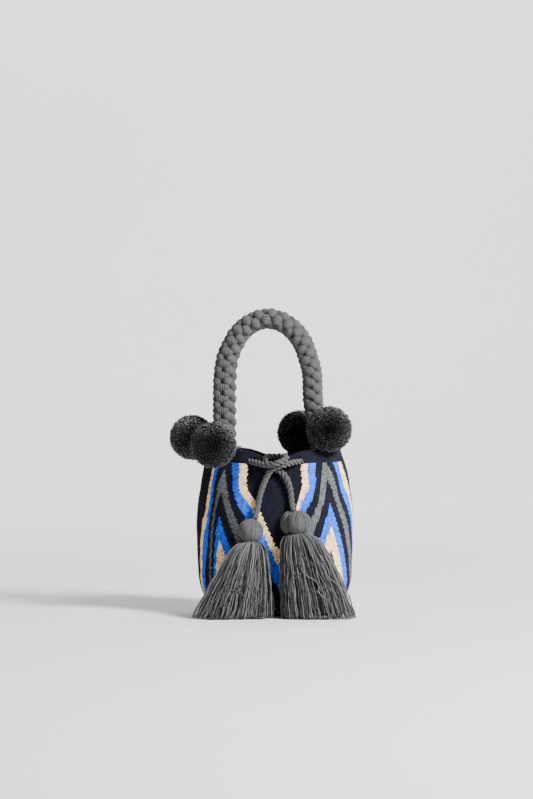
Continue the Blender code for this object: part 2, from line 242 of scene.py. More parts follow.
def yarnMaterial(name, look):
    material = bpy.data.materials.new(name)
    material.use_nodes = True
    tree = material.node_tree
    shader = tree.nodes["Principled BSDF"]
    place = addNode(tree, "TexCoord").outputs["Object"]
    fibre = addNode(tree, "TexNoise", {"Vector": place, "Scale": look["fibres"], "Detail": 3.0})
    fibre = fibre.outputs["Fac"]
    shade = addNode(tree, "Attribute", attribute_name="shade").outputs["Fac"]
    # the plies run slantwise round each yarn
    lay = addNode(tree, "UVMap", uv_map="yarnMap").outputs[0]
    slant = (1.0, look["plies"] * look["plyPitch"], 0.0)
    turned = addNode(tree, "Mapping", {"Vector": lay, "Scale": slant}).outputs[0]
    wave = addNode(tree, "TexWave", {"Vector": turned, "Scale": waveBand / look["plyPitch"]},
                   bands_direction="DIAGONAL").outputs["Fac"]
    # fibres, plies and the shade mark together pick a colour from dark to light; the shade mark is a yarn's
    # own tone, and on some pieces it also carries painted light and shade
    # painted shade: grooveShade paints the grooves between the plies darker
    grooveShade = look.get("grooveShade", 0.0)
    grooveShaded = mathNode(tree, "MULTIPLY_ADD", wave, grooveShade, look.get("base", -0.1) - grooveShade / 2)
    uneven = mathNode(tree, "MULTIPLY_ADD", fibre, 0.7, grooveShaded)
    mixed = mathNode(tree, "MULTIPLY_ADD", shade, look.get("apart", 0.5), uneven)
    ramp = addNode(tree, "ValToRGB", {"Fac": mixed})
    ramp.color_ramp.elements[0].color = tone(*look["dark"])
    ramp.color_ramp.elements[1].color = tone(*look["light"])
    colour = ramp.outputs["Color"]
    if "paintedTipLight" in look:
        # painted light: the sides towards the tip are painted lighter as a lit fringe, and the cut end itself
        # is painted dark but for a few painted glints
        tip = addNode(tree, "Attribute", attribute_name="tip").outputs["Fac"]
        near = addNode(tree, "MapRange", {"Value": tip, "From Min": look["tipFrom"], "From Max": 0.96})
        much = mathNode(tree, "MULTIPLY", near.outputs[0], shade)
        cut = mathNode(tree, "GREATER_THAN", tip, 0.985)
        bright = mathNode(tree, "GREATER_THAN", shade, look["cutBright"])
        factor = addNode(tree, "Mix", {0: cut, 2: much, 3: bright}, data_type="FLOAT").outputs[0]
        blend = addNode(tree, "Mix", {0: factor, 6: colour, 7: tone(*look["paintedTipLight"])}, data_type="RGBA")
        colour = blend.outputs[2]
    tree.links.new(colour, shader.inputs["Base Color"])
    strands = mathNode(tree, "MULTIPLY_ADD", fibre, 0.5, wave)
    relief = addNode(tree, "Bump", {"Height": strands, "Distance": look["relief"], "Strength": 0.8})
    tree.links.new(relief.outputs[0], shader.inputs["Normal"])
    shader.inputs["Roughness"].default_value = 0.92
    shader.inputs["Specular IOR Level"].default_value = 0.12
    shader.inputs["Sheen Weight"].default_value = look["sheen"]
    shader.inputs["Sheen Roughness"].default_value = 0.55
    return material


# the drawstring: two free ends in front, and the run that lies inside the rim
rope = {
    "diameter": 0.0074,
    "lead": 0.0190,        # one full turn of the three plies
    "dark": (16, 17, 17),
    "light": (98, 99, 99),
    "rightEnd": [
        (0.0339, -0.0555, 0.1830), (0.0305, -0.0647, 0.1830), (0.0230, -0.0741, 0.1824),
        (0.0125, -0.0847, 0.1802), (0.0020, -0.0869, 0.1775), (-0.0055, -0.0874, 0.1728),
        (-0.0114, -0.0854, 0.1625), (-0.0172, -0.0848, 0.1465), (-0.0204, -0.0858, 0.1305),
        (-0.0234, -0.0914, 0.1168),
    ],
    "leftEnd": [
        (-0.0339, -0.0555, 0.1830), (-0.0305, -0.0647, 0.1830), (-0.0230, -0.0741, 0.1824),
        (-0.0125, -0.0868, 0.1801), (0.0005, -0.0955, 0.1819), (0.0085, -0.0926, 0.1845),
        (0.0135, -0.0855, 0.1886), (0.0085, -0.0775, 0.1902), (0.0000, -0.0720, 0.1895),
        (-0.0080, -0.0720, 0.1893), (-0.0115, -0.0770, 0.1855), (-0.0080, -0.0799, 0.1795),
        (-0.0005, -0.0800, 0.1752), (0.0075, -0.0818, 0.1708), (0.0140, -0.0846, 0.1630),
        (0.0180, -0.0844, 0.1490), (0.0195, -0.0859, 0.1370), (0.0218, -0.0916, 0.1263),
    ],
    # the right half of the run inside; the left half mirrors it
    "inside": [
        (0.0362, -0.0544, 0.1830), (0.0489, -0.0465, 0.1830), (0.0598, -0.0362, 0.1830),
        (0.0679, -0.0236, 0.1830), (0.0725, -0.0094, 0.1830), (0.0730, 0.0055, 0.1830),
        (0.0694, 0.0201, 0.1830), (0.0622, 0.0331, 0.1830), (0.0519, 0.0440, 0.1830),
        (0.0397, 0.0527, 0.1830), (0.0318, 0.0653, 0.1828), (0.0217, 0.0760, 0.1802),
        (0.0075, 0.0766, 0.1768),
    ],
}

ropeLook = yarnMaterial("rope yarn", {
    "dark": rope["dark"], "light": rope["light"], "fibres": 900.0, "plyPitch": 0.0017, "plies": -6,
    "relief": 0.00025, "sheen": 0.1,
})


def ropeMesh(route, diameter, lead, sides, chance):
    # three plies laid together: one tube whose three-lobed section turns on the way
    routes = np.asarray(route)[None]
    along = lengthsAlong(routes)[0]
    third = math.pi / 3
    middle = diameter / 2 / (1 + math.sin(third))
    ply = middle * math.sin(third)
    turn = math.tau * np.arange(sides) / sides
    off = (turn + third) % (math.tau / 3) - third
    reach = middle * np.cos(off) + np.sqrt(np.maximum(0, ply**2 - (middle * np.sin(off)) ** 2))
    twisted = turn[None] - math.tau * along[:, None] / lead
    section = np.stack((reach * np.sin(twisted), reach * np.cos(twisted)), axis=-1)
    return layTubes(routes, section[None], sides, chance)


def shadeBehind(mesh):
    # the loop behind the knot is dark with the rim's shadow
    places = np.zeros(len(mesh.vertices) * 3)
    mesh.vertices.foreach_get("co", places)
    x, y, z = places.reshape(-1, 3).T
    behind = np.clip((y + 0.0835) / 0.006, 0, 1) * np.clip((z - 0.182) / 0.004, 0, 1)
    shade = 0.5 - 0.85 * behind * (np.abs(x) < 0.016)
    mesh.attributes["shade"].data.foreach_set("value", shade.astype(np.float32))


def makeRope(name, points, node):
    route = smoothRoute(points, 0.0007)
    mesh = ropeMesh(route, rope["diameter"], rope["lead"], 24, Random(name))
    shadeBehind(mesh)
    return makePiece(name, [mesh], ropeLook, node), route


rightCord, rightRoute = makeRope("right drawstring end", rope["rightEnd"], "drawstring_right_end")
leftCord, leftRoute = makeRope("left drawstring end", rope["leftEnd"], "drawstring_left_end")
leftHalf = [(-x, y, z) for x, y, z in reversed(rope["inside"])]
makeRope("drawstring inside the rim", rope["inside"] + leftHalf, "drawstring_run")
print("drawstring laid")


# the tassels: a head of looped yarn, a tie round its neck, and a skirt of loose yarns
tassels = {
    "heads": {"left": (-0.0286, -0.0944, 0.1035), "right": (0.0270, -0.0946, 0.1130)},
    "headWide": 0.0144,
    "headHigh": 0.0136,
    "headLower": 0.0008,
    "headCore": (0.0133, 0.0133, 0.0124),
    "loops": 84,
    "loopYarn": 0.00064,
    "fold": (-0.0098, 0.0070, -0.0008),     # where the right head's yarn bulges out
    "foldSize": 0.74,
    "neck": 0.0088,
    "neckTurns": 3.6,
    "neckYarn": 0.00085,
    "neckBelow": 0.0133,   # under the head's middle
    "neckHigh": 0.0034,
    "shoulder": 0.0130,
    "skirtBelow": 0.0118,
    "skirtDeep": 0.0198,
    "forward": 0.0045,
    "heart": 0.5,          # share of the skirt that is filled with yarn painted dark as shade
    # foot's middle, half width at the foot, how early it widens, how early it leans
    "skirts": {"left": (-0.0500, 0.0478, 0.70, 1.05), "right": (0.0512, 0.0442, 0.50, 0.85)},
    "yarns": 500,
    "strays": 7,
    "yarn": 0.00050,
    "dark": (5, 6, 6),
    "light": (122, 123, 124),
    "headDark": (40, 41, 42),
    "headLight": (95, 96, 98),
}

tasselLook = yarnMaterial("tassel yarn", {
    "dark": tassels["dark"], "light": tassels["light"], "fibres": 1100.0, "plyPitch": 0.0016, "plies": 2,
    "relief": 0.00018, "sheen": 0.05, "apart": 0.75, "base": -0.30,
})
headLook = yarnMaterial("tassel head yarn", {
    "dark": tassels["headDark"], "light": tassels["headLight"], "fibres": 1100.0, "plyPitch": 0.0016,
    "plies": 2, "relief": 0.00018, "sheen": 0.1,
})


def headRoutes(middle, size, chance):
    # loops of yarn that pass over the crown and down both sides to the neck
    swing = np.radians(np.linspace(-148, 148, 19))
    routes = []
    for number in range(tassels["loops"]):
        turn = math.pi * (number + chance.uniform(-0.35, 0.35)) / tassels["loops"]
        proud = chance.uniform(-0.00025, 0.00015)
        out = (tassels["headWide"] * size + proud) * np.sin(swing)
        rise = (tassels["headHigh"] + proud) * np.cos(swing)
        # the loops cross the crown side by side, not all at one point
        aside = chance.gauss(0, 0.0018) * np.clip(np.cos(swing), 0, 1)
        x = middle[0] + out * math.cos(turn) - aside * math.sin(turn)
        y = middle[1] + out * math.sin(turn) + aside * math.cos(turn)
        routes.append(np.stack((x, y, middle[2] + rise), axis=1))
    return routes


def neckRoute(middle):
    turns = np.linspace(0, tassels["neckTurns"] * math.tau, 96)
    out = tassels["neck"] - 0.0008
    high = middle[2] - tassels["neckBelow"] - tassels["neckHigh"] * turns / turns[-1]
    return np.stack((middle[0] + out * np.cos(turns), middle[1] + out * np.sin(turns), high), axis=1)


def skirtRoutes(side, middle, chance):
    footX, footWide, widening, leaning = tassels["skirts"][side]
    top = middle[2] - tassels["skirtBelow"]
    floor = tassels["yarn"] + 0.0004
    share = np.linspace(0, 1, 19)
    narrow = tassels["neck"] * 0.85
    shoulder = narrow + (tassels["shoulder"] - narrow) * np.minimum(1, share * 12)
    routes = []
    for _ in range(tassels["yarns"]):
        turn = chance.uniform(0, math.tau)
        out = math.sqrt(chance.uniform(0.12, 1.0))
        spread = share ** (widening * chance.uniform(0.88, 1.2))
        wide = shoulder + (footWide - tassels["shoulder"]) * spread
        deep = shoulder + (tassels["skirtDeep"] - tassels["shoulder"]) * spread
        high = top - (top - floor) * share * chance.uniform(0.94, 1.06)
        # a yarn that is longer than the skirt lies outwards on the floor
        lying = np.maximum(0, floor - high)
        high = np.maximum(high, floor + 0.0016 * chance.random())
        x = middle[0] + (footX - middle[0]) * share**leaning + (out * wide + 0.3 * lying) * math.cos(turn)
        y = middle[1] - tassels["forward"] * np.minimum(1, 4 * share)
        y = y + (out * deep + 0.3 * lying) * math.sin(turn)
        waves = chance.uniform(1.5, 5.0)
        start = chance.uniform(0, math.tau)
        grow = np.minimum(1, share * 3) ** 0.8 / waves
        x = x + chance.uniform(0.0008, 0.0034) * grow * np.sin(math.tau * waves * share + start)
        y = y + chance.uniform(0.0008, 0.0026) * grow * np.cos(math.tau * waves * share + 1.7 * start)
        routes.append(np.stack((x, y, high), axis=1))
    return routes


def strayRoutes(side, middle, chance):
    # a few loose yarns that wander over the front of the skirt
    footX, footWide, widening, leaning = tassels["skirts"][side]
    routes = []
    for _ in range(tassels["strays"]):
        start = chance.uniform(0.12, 0.7)
        share = np.linspace(start, min(0.99, start + chance.uniform(0.25, 0.4)), 19)
        wide = tassels["shoulder"] + (footWide - tassels["shoulder"]) * share**widening
        deep = tassels["shoulder"] + (tassels["skirtDeep"] - tassels["shoulder"]) * share**0.6
        turn = np.linspace(0, chance.uniform(-0.7, 0.7), 19) - math.pi / 2 + chance.uniform(-0.7, 0.7)
        turn = turn + 0.10 * np.sin(share * chance.uniform(14, 26))
        x = middle[0] + (footX - middle[0]) * share**leaning + 0.99 * wide * np.cos(turn)
        y = middle[1] - tassels["forward"] + 1.03 * deep * np.sin(turn)
        high = (middle[2] - tassels["skirtBelow"]) * (1 - share) + 0.0012
        routes.append(np.stack((x, y, high), axis=1))
    return routes


def skirtHeart(side, middle, chance):
    # the yarns in the middle, painted dark as the shade deep inside the skirt, so that nothing behind the
    # skirt shows through it
    footX, footWide, widening, leaning = tassels["skirts"][side]
    sides = 20
    share = np.linspace(0.10, 0.96, 12)
    turn = math.tau * np.arange(sides) / sides
    wide = tassels["neck"] + (tassels["heart"] * footWide - tassels["neck"]) * share**widening
    deep = tassels["neck"] + (tassels["heart"] * tassels["skirtDeep"] - tassels["neck"]) * share
    section = np.stack((wide[:, None] * np.sin(turn), deep[:, None] * np.cos(turn)), axis=-1)
    x = middle[0] + (footX - middle[0]) * share**leaning
    y = middle[1] - tassels["forward"] * np.minimum(1, 4 * share)
    route = np.stack((x, y, (middle[2] - tassels["skirtBelow"]) * (1 - share)), axis=1)
    right = np.tile((1.0, 0.0, 0.0), (1, len(share), 1))
    up = np.tile((0.0, -1.0, 0.0), (1, len(share), 1))
    heart = layTubes([route], section[None], sides, chance, (right, up))
    # painted shade: the heart takes the darkest colour of the skirt's yarn
    heart.attributes["shade"].data.foreach_set("value", np.zeros(len(heart.vertices), np.float32))
    return heart


def makeTassel(side):
    middle = tassels["heads"][side]
    chance = Random("tassel " + side)
    ball = (middle[0], middle[1], middle[2] - tassels["headLower"])
    core = darkBall(ball, tassels["headCore"])
    routes = headRoutes(ball, 1.0, chance)
    if side == "right":
        # one fold of its yarn bulges out beside the head
        beside = [place + shift for place, shift in zip(ball, tassels["fold"])]
        routes += headRoutes(beside, tassels["foldSize"], chance)
    loops = layTubes(routes, roundSection(tassels["loopYarn"], 5), 5, chance)
    head = makePiece(side + " tassel head", [core, loops], headLook, f"tassel_{side}_head")
    winding = layTubes([neckRoute(middle)], roundSection(tassels["neckYarn"], 8), 8, chance)
    neck = makePiece(side + " tassel neck tie", [winding], tasselLook, f"tassel_{side}_neck_tie")
    routes = skirtRoutes(side, middle, chance) + strayRoutes(side, middle, chance)
    yarns = layTubes(routes, roundSection(tassels["yarn"], 4), 4, chance)
    heart = skirtHeart(side, middle, chance)
    skirt = makePiece(side + " tassel skirt", [yarns, heart], tasselLook,
                      f"tassel_{side}_skirt")
    return [head, neck, skirt]


# the right end crosses over and carries the left tassel, and the other way round
leftTassel = makeTassel("left")
rightTassel = makeTassel("right")


def routeLength(route):
    return float(lengthsAlong(route[None])[0, -1])


print("tassels hung; free ends", round(routeLength(rightRoute), 4), round(routeLength(leftRoute), 4))


# the body: one crocheted bucket with its wall, rolled rim, inside and base
body = {
    "height": 0.194,
    "wall": 0.003,
    # share of the height, half width, half depth
    "profile": (
        (0.0, 0.064, 0.0575), (0.018, 0.071, 0.064), (0.055, 0.0775, 0.07), (0.124, 0.0855, 0.0765),
        (0.2, 0.09, 0.0805), (0.31, 0.092, 0.0825), (0.425, 0.093, 0.083), (0.575, 0.093, 0.0825),
        (0.7, 0.0912, 0.0808), (0.81, 0.0885, 0.078), (0.88, 0.0855, 0.075), (0.94, 0.0822, 0.0715),
        (1.0, 0.0784, 0.0675),
    ),
    "stitches": 254,       # in a round
    "stitch": 0.0020,
    "lean": 0.28,          # how far a round sits past the one below it, in stitches
    "relief": 0.00140,
    "dip": 0.010,          # how far the rim sinks in front and at the back
    "folds": 14,
    "foldDeep": 0.0016,
    # the openings for the drawstring: distance from the middle, and width
    "frontOpening": (0.0262, 0.0120),
    "backOpening": (0.0310, 0.0180),
    "openingHeight": 0.183,
    "openingHigh": 0.0086,
    "navy": (10, 10, 25),
    "blue": (32, 96, 226),
    "beige": (252, 213, 158),
    "grey": (87, 89, 91),
    "rimBand": 0.0120,     # plain navy under the rim
    # the zigzag's bands from the top down, in steps of 1.185 mm; navy lies between them
    "bands": (
        (544, 559, "beige"), (559, 583, "blue"), (607, 629, "grey"), (652, 675, "blue"), (675, 699, "beige"),
    ),
    "bandSlant": 3.2,      # steps down for each degree round
}
yarnNumbers = {"navy": 0, "blue": 1, "beige": 2, "grey": 3}


def bodyRows():
    # every round, up the wall, over the rim and down inside:
    # half width, half depth, height, number of the round, and what it is
    profile = [(wide, deep, share * body["height"]) for share, wide, deep in body["profile"]]
    rounds = [tuple(row) for row in smoothRoute(profile, body["stitch"])]
    last = len(rounds) - 1
    thick = body["wall"]
    wide, deep, _ = rounds[0]
    rows = [(wide * share, deep * share, 0.0, 0, "base") for share in (0, 0.14, 0.3, 0.47, 0.64, 0.8, 0.92)]
    rows += [(*place, number, "wall") for number, place in enumerate(rounds)]
    wide, deep, top = rounds[-1]
    for degrees in (35, 70, 110, 145):
        inwards = thick / 2 * (1 - math.cos(math.radians(degrees)))
        over = thick / 2 * math.sin(math.radians(degrees))
        rows.append((wide - inwards, deep - inwards, top + over, last, "roll"))
    for number in range(last, 2, -1):
        wide, deep, height = rounds[number]
        # below the part of the inside that is seen, one row does for five rounds
        if height > 0.160 or number % 5 == 0:
            rows.append((wide - thick, deep - thick, max(height, thick), number, "inside"))
    wide, deep = rows[-1][:2]
    rows += [(wide * share, deep * share, thick, 0, "floor") for share in (0.85, 0.6, 0.35, 0.15, 0)]
    return rows


def bodyPlace(row, angle):
    wide, deep, height = row[:3]
    nearRim = within((height / body["height"] - 0.72) / 0.28)
    fold = body["foldDeep"] * nearRim * (1 - nearRim) * 4 * math.cos(body["folds"] * angle)
    if wide < 0.02:
        fold = 0
    place = Vector(((wide - fold) * math.cos(angle), (deep - fold) * math.sin(angle), height))
    offMiddle = math.asin(min(1.0, abs(math.cos(angle))))
    place.z -= body["dip"] * math.exp(-((offMiddle / 0.30) ** 2)) * nearRim
    return place


def yarnAt(turn, height):
    # the zigzag bands: four V shapes round the bag, 90 degrees apart; turn is 0 in front
    down = 353 + (311 - height * 1000) / 1.185
    # on the left flank the bands run almost straight down
    flank = within((-turn - 44) / 16) * within((turn + 125) / 30)
    flank = flank * flank * (3 - 2 * flank)
    if down > 470:
        down = 470 + (down - 470) * (1 - 0.50 * flank)
    turn -= 2.5 * flank
    off = abs((turn + 45) % 90 - 45)
    drift = turn if abs(turn) <= 90 else math.copysign(180 - abs(turn), turn)
    level = down + body["bandSlant"] * off + 0.14 * drift
    # under the rim the bands run straighter down before they slant
    level -= 14 * math.exp(-(((down - 490) / 19) ** 2) - ((off - 27) / 9) ** 2)
    level += 12 * within((488 - down) / 24) * math.exp(-(((off - 22) / 8) ** 2))
    # the front V comes together a little to the right of the middle
    level -= 26 * within(turn / 6) * within((22 - turn) / 12)
    if height > body["height"] - body["rimBand"]:
        return "navy"
    for low, high, name in body["bands"]:
        if low <= level < high:
            return name
    return "navy"


def openingHere(place):
    # the drawstring passes through four short level slots
    middle, width = body["frontOpening"] if place.y < 0 else body["backOpening"]
    high = body["openingHigh"]
    across = max(0.0, abs(abs(place.x) - middle) - (width - high) / 2)
    return math.hypot(across, place.z - body["openingHeight"]) < high / 2


def bodyMesh():
    rows = bodyRows()
    outer = [row for row in rows if row[4] in ("wall", "roll")]
    columns = body["stitches"]
    form = bmesh.new()
    bmesh.ops.create_grid(form, x_segments=columns, y_segments=len(rows) - 1, size=1)
    stitchMap = form.loops.layers.uv.new("yarnMap")
    colour = form.faces.layers.float.new("yarn")
    shade = form.faces.layers.float.new("shade")
    chance = Random("stitches")
    spots = {}
    for vert in form.verts:
        column = round((vert.co.x + 1) / 2 * columns)
        spots[vert] = (column, round((vert.co.y + 1) / 2 * (len(rows) - 1)))
    raised = []
    openings = {(right, back): [] for right in (False, True) for back in (False, True)}
    for face in form.faces:
        for loop in face.loops:
            column, level = spots[loop.vert]
            loop[stitchMap].uv = (column, rows[level][3])
        column = min(spots[vert][0] for vert in face.verts)
        level = min(spots[vert][1] for vert in face.verts)
        row, above = rows[level], rows[level + 1]
        kind = row[4]
        number = min(row[3], above[3])
        angle = math.tau * (column + 0.5 + body["lean"] * (number + 0.5)) / columns
        outside = kind == "wall" and row[2] > 0.001
        if outside or (kind in ("roll", "inside") and abs(row[2] - above[2]) < 0.003):
            raised.append(face)
        name = "navy"
        if kind == "inside" or (outside and above[4] == "wall"):
            turn = (math.degrees(angle) + 90 + 180) % 360 - 180
            name = yarnAt(turn, (row[2] + above[2]) / 2)
        face[colour] = yarnNumbers[name]
        face[shade] = chance.random()
        # the place on the outside, half way up the round
        halfway = [(low + high) / 2 for low, high in zip(outer[number][:3], outer[number + 1][:3])]
        nominal = bodyPlace(halfway, angle)
        if kind == above[4] and kind in ("wall", "inside") and openingHere(nominal):
            openings[nominal.x > 0, nominal.y > 0].append(face)
    for vert, (column, level) in spots.items():
        row = rows[level]
        place = bodyPlace(row, math.tau * (column + body["lean"] * row[3]) / columns)
        # soft and a little uneven between base and rim
        soft = noise.noise(place * 22) * 0.0011 + noise.noise(place * 60) * 0.0004
        if 0.004 < place.z < 0.17:
            place += soft * Vector((place.x, place.y, 0)).normalized()
        vert.co = place
    for faces in openings.values():
        cut = set(faces)
        raised = [face for face in raised if face not in cut]
        bmesh.ops.delete(form, geom=faces, context="FACES")
    # the seam and the two poles are closed, and each opening gets its edge
    bmesh.ops.remove_doubles(form, verts=form.verts, dist=2e-6)
    edges = [edge for edge in form.edges if edge.is_boundary]
    for right, back in openings:
        here = [edge for edge in edges
                if (edge.verts[0].co.x > 0) == right and (edge.verts[0].co.y > 0) == back]
        bmesh.ops.bridge_loops(form, edges=here)
    # every stitch is a small raised bead
    bmesh.ops.poke(form, faces=[face for face in raised if face.is_valid], offset=body["relief"])
    mesh = bpy.data.meshes.new("body")
    form.to_mesh(mesh)
    form.free()
    return mesh


def bodyMaterial():
    material = bpy.data.materials.new("bag yarn")
    material.use_nodes = True
    tree = material.node_tree
    shader = tree.nodes["Principled BSDF"]
    place = addNode(tree, "TexCoord").outputs["Object"]
    yarn = addNode(tree, "Attribute", attribute_name="yarn").outputs["Fac"]
    ramp = addNode(tree, "ValToRGB", {"Fac": mathNode(tree, "MULTIPLY_ADD", yarn, 0.25, 0.12)})
    ramp.color_ramp.interpolation = "CONSTANT"
    stops = ramp.color_ramp.elements
    for name, number in yarnNumbers.items():
        stop = stops[number] if number < 2 else stops.new(number / 4)
        stop.position = number / 4
        stop.color = tone(*body[name])
    shade = addNode(tree, "Attribute", attribute_name="shade").outputs["Fac"]
    fibre = addNode(tree, "TexNoise", {"Vector": place, "Scale": 700.0, "Detail": 3.0}).outputs["Fac"]
    wide = addNode(tree, "TexNoise", {"Vector": place, "Scale": 60.0, "Detail": 2.0}).outputs["Fac"]
    value = mathNode(tree, "MULTIPLY_ADD", shade, 1.10, -0.10)
    value = mathNode(tree, "MULTIPLY_ADD", fibre, 0.60, value)
    value = mathNode(tree, "MULTIPLY_ADD", wide, 0.20, value)
    # each stitch is a small bead, painted darker where it meets its neighbours as shade in the crevices
    # between stitches
    lay = addNode(tree, "UVMap", uv_map="yarnMap").outputs[0]
    stray = addNode(tree, "TexNoise", {"Vector": place, "Scale": 420.0, "Detail": 2.0}).outputs["Color"]
    moved = addNode(tree, "VectorMath", {0: stray, 1: (0.9, 0.9, 0.0), 2: (-0.45, -0.45, 0.0)},
                    operation="MULTIPLY_ADD").outputs[0]
    uneven = addNode(tree, "VectorMath", {0: lay, 1: moved}, operation="ADD").outputs[0]
    grid = addNode(tree, "SeparateXYZ", {0: uneven})
    rounds = []
    for axis in (0, 1):
        bent = mathNode(tree, "SINE", mathNode(tree, "MULTIPLY", grid.outputs[axis], math.pi))
        rounds.append(mathNode(tree, "ABSOLUTE", bent))
    bead = mathNode(tree, "POWER", mathNode(tree, "MULTIPLY", *rounds), 0.6)
    value = mathNode(tree, "MULTIPLY_ADD", bead, 1.00, value)
    vary = addNode(tree, "HueSaturation", {"Value": value, "Color": ramp.outputs["Color"]})
    tree.links.new(vary.outputs[0], shader.inputs["Base Color"])
    # the yarn's own strands cross each bead slantwise
    turned = addNode(tree, "Mapping", {"Vector": lay, "Scale": (1.0, -0.8, 0.0)}).outputs[0]
    wave = addNode(tree, "TexWave", {"Vector": turned, "Scale": 2 * waveBand, "Distortion": 0.6},
                   bands_direction="DIAGONAL").outputs["Fac"]
    strands = mathNode(tree, "MULTIPLY_ADD", fibre, 0.8, wave)
    whole = mathNode(tree, "MULTIPLY_ADD", bead, 2.4, strands)
    relief = addNode(tree, "Bump", {"Height": whole, "Distance": 0.00040, "Strength": 0.9})
    tree.links.new(relief.outputs[0], shader.inputs["Normal"])
    shader.inputs["Roughness"].default_value = 0.95
    shader.inputs["Specular IOR Level"].default_value = 0.1
    shader.inputs["Sheen Weight"].default_value = 0.04
    shader.inputs["Sheen Roughness"].default_value = 0.6
    return material


bag = makePiece("bag body", [bodyMesh()], bodyMaterial(), "bag_body")
print("body crocheted:", len(bag.data.polygons), "faces")


# the handle: eight strands braided round each other
braid = {
    "route": [
        (-0.0602, 0, 0.1890), (-0.0606, 0, 0.205), (-0.0606, 0, 0.235), (-0.0606, 0, 0.2618),
        (-0.06, 0, 0.2834), (-0.057, 0, 0.305), (-0.051, 0, 0.3194), (-0.0432, 0, 0.3338),
        (-0.029, 0, 0.3465), (-0.0096, 0, 0.3524), (0.011, 0, 0.3465), (0.0258, 0, 0.3338),
        (0.0348, 0, 0.3194), (0.0396, 0, 0.305), (0.0438, 0, 0.2906), (0.045, 0, 0.2762),
        (0.0456, 0, 0.2546), (0.0495, 0, 0.232), (0.056, 0, 0.212), (0.0627, 0, 0.1890),
    ],
    "wide": 0.0142,
    "narrow": 0.0117,
    "halfPitch": 0.0070,   # from one crossing of a strand to its next
    "shift": 0.0030,
    "uneven": 0.16,
    "startTurn": 193.5,    # where the first column of lobes stands
    "facing": 261,         # the side with the widest columns
    "twist": 66,           # how far the whole braid turns on its way over the arch
    "sides": 24,
    "square": 0.82,        # 1 gives a round strand, less a fuller one
    # each pair: the value while the strand is under, and what it gains on top
    "reach": (0.0017, 0.0077),
    "strandWide": (0.0031, 0.0034),
    "strandHigh": (0.0035, 0.0009),
    "core": 0.0070,
    "dark": (6, 6, 7),
    "light": (88, 89, 90),
}

# painted shade: grooveShade paints the braid's ply grooves darker
braidLook = yarnMaterial("braid yarn", {
    "dark": braid["dark"], "light": braid["light"], "fibres": 520.0, "plyPitch": 0.0300, "plies": 21,
    "relief": 0.00070, "sheen": 0.06, "apart": 0.62, "grooveShade": 0.36, "base": -0.20,
})


def braidMesh():
    middle = smoothRoute(braid["route"], 0.00105)
    along = lengthsAlong(middle[None])[0]
    share = along / along[-1]
    ahead = unit(np.gradient(middle, axis=0))
    outwards = np.stack((-ahead[:, 2], np.zeros(len(ahead)), ahead[:, 0]), axis=1)
    deepwards = np.array((0.0, 1.0, 0.0))
    # the braid is a little flat, and shows its broad side first and its narrow side later
    turned = np.clip((share - 0.25) / 0.2, 0, 1)
    out = braid["wide"] + turned * (braid["narrow"] - braid["wide"])
    deep = braid["narrow"] + turned * (braid["wide"] - braid["narrow"])
    step = (along + braid["shift"]) / braid["halfPitch"]
    facing = math.radians(braid["facing"])
    over = np.clip((share - 0.28) / 0.47, 0, 1)
    twist = math.radians(braid["twist"]) * over * over * (3 - 2 * over)
    turn = math.tau * np.arange(braid["sides"]) / braid["sides"]
    across = np.sign(np.sin(turn)) * np.abs(np.sin(turn)) ** braid["square"]
    proud = np.sign(np.cos(turn)) * np.abs(np.cos(turn)) ** braid["square"]
    routes, sections, rights, ups, shades = [], [], [], [], []
    for way in (1, -1):
        wave = math.pi * step
        top = way * np.cos(wave)          # 1 where the strand lies on top, -1 under
        lift = ((1 + top) / 2) ** 0.80
        # it runs along the handle while on top, and slips sideways while it is under
        eased = step - way * 1.30 / math.pi * np.sin(wave) + 0.45 / math.tau * np.sin(2 * wave)
        for number in range(4):
            angle = np.radians(braid["startTurn"] + 90 * number + way * 45 * eased)
            swell = 1 + braid["uneven"] * np.cos(angle - facing)
            angle = angle + braid["uneven"] * np.sin(angle - facing) + twist
            scale = np.hypot(out * np.cos(angle), deep * np.sin(angle)) / 0.013
            spread = np.hypot(out * np.sin(angle), deep * np.cos(angle)) / 0.013
            far = (braid["reach"][0] + braid["reach"][1] * lift) * scale
            sideways = (far * np.cos(angle))[:, None] * outwards
            depth = (far * np.sin(angle))[:, None] * deepwards
            route = middle + sideways + depth
            forward = unit(np.gradient(route, axis=0))
            radial = np.cos(angle)[:, None] * outwards + np.sin(angle)[:, None] * deepwards
            right = unit(np.cross(radial, forward))
            wide = (braid["strandWide"][0] + braid["strandWide"][1] * lift) * spread * swell
            high = (braid["strandHigh"][0] + braid["strandHigh"][1] * lift) * scale
            routes.append(route)
            sections.append(np.stack((wide[:, None] * across, high[:, None] * proud), axis=-1))
            rights.append(right)
            ups.append(np.cross(forward, right))
            # painted shade, from light on top to dark where the strand lies under
            shades.append(np.clip(1.25 * lift - 0.25, 0, 1))
    chance = Random("braid")
    frames = (np.array(rights), np.array(ups))
    strands = layTubes(routes, np.array(sections), braid["sides"], chance, frames)
    # painted shade: the yarn is painted darker where a strand dives under its neighbours, as shade in the
    # crevices
    rows = np.zeros(len(strands.vertices), np.float32)
    strands.attributes["tip"].data.foreach_get("value", rows)
    rows = np.rint(rows * (len(middle) - 1)).astype(int).reshape(len(routes), -1)
    shaded = np.array([shade[row] for shade, row in zip(shades, rows)], np.float32)
    strands.attributes["shade"].data.foreach_set("value", shaded.ravel())
    core = layTubes([middle[1:-1]], roundSection(braid["core"], 12), 12, chance)
    return [strands, core]


makePiece("braided handle", braidMesh(), braidLook, "handle_braid")
print("handle braided")


